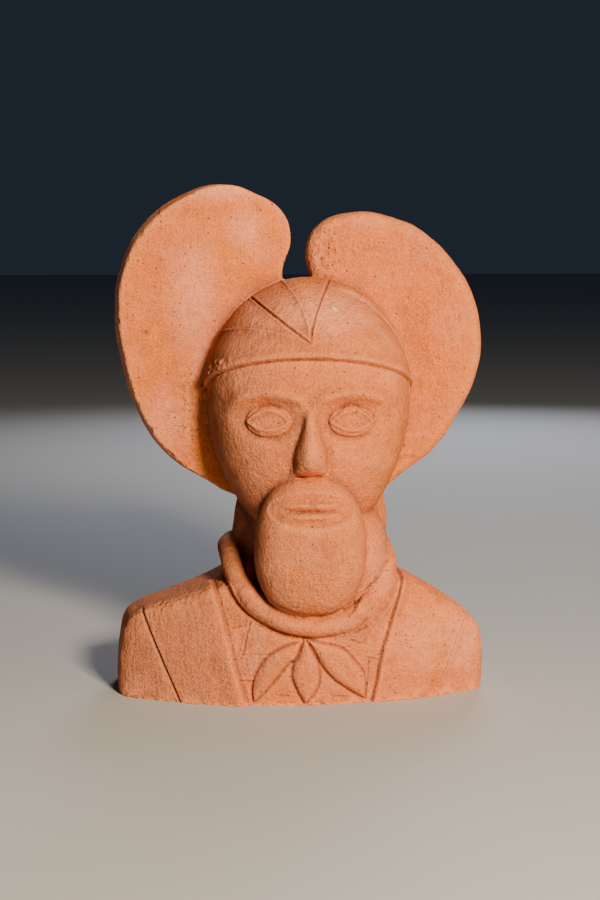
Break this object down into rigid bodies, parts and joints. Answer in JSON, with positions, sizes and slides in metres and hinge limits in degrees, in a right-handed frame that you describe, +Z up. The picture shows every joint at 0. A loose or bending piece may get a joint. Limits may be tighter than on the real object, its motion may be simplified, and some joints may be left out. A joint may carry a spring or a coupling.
{
  "type": "celtic bust",
  "caption": "Hand-built terracotta bust of a bearded figure with a leaf crown, ribbed cap, rolled collar and leaf pendant, standing on its flat base.",
  "frame": {"origin": "middle of the footprint of the whole bust's bounding box, on the flat underside", "axes": "+Z up, -Y the way the face looks, +X to the right of someone looking at the face"},
  "size_m": [0.2984, 0.1782, 0.4],
  "materials": {
    "terracotta": "matt unglazed fired clay with grog, brushed and pitted, with pale bloom on raised parts"
  },
  "bodies": {
    "root": {"celtic_bust": "terracotta"}
  },
  "joints": []
}
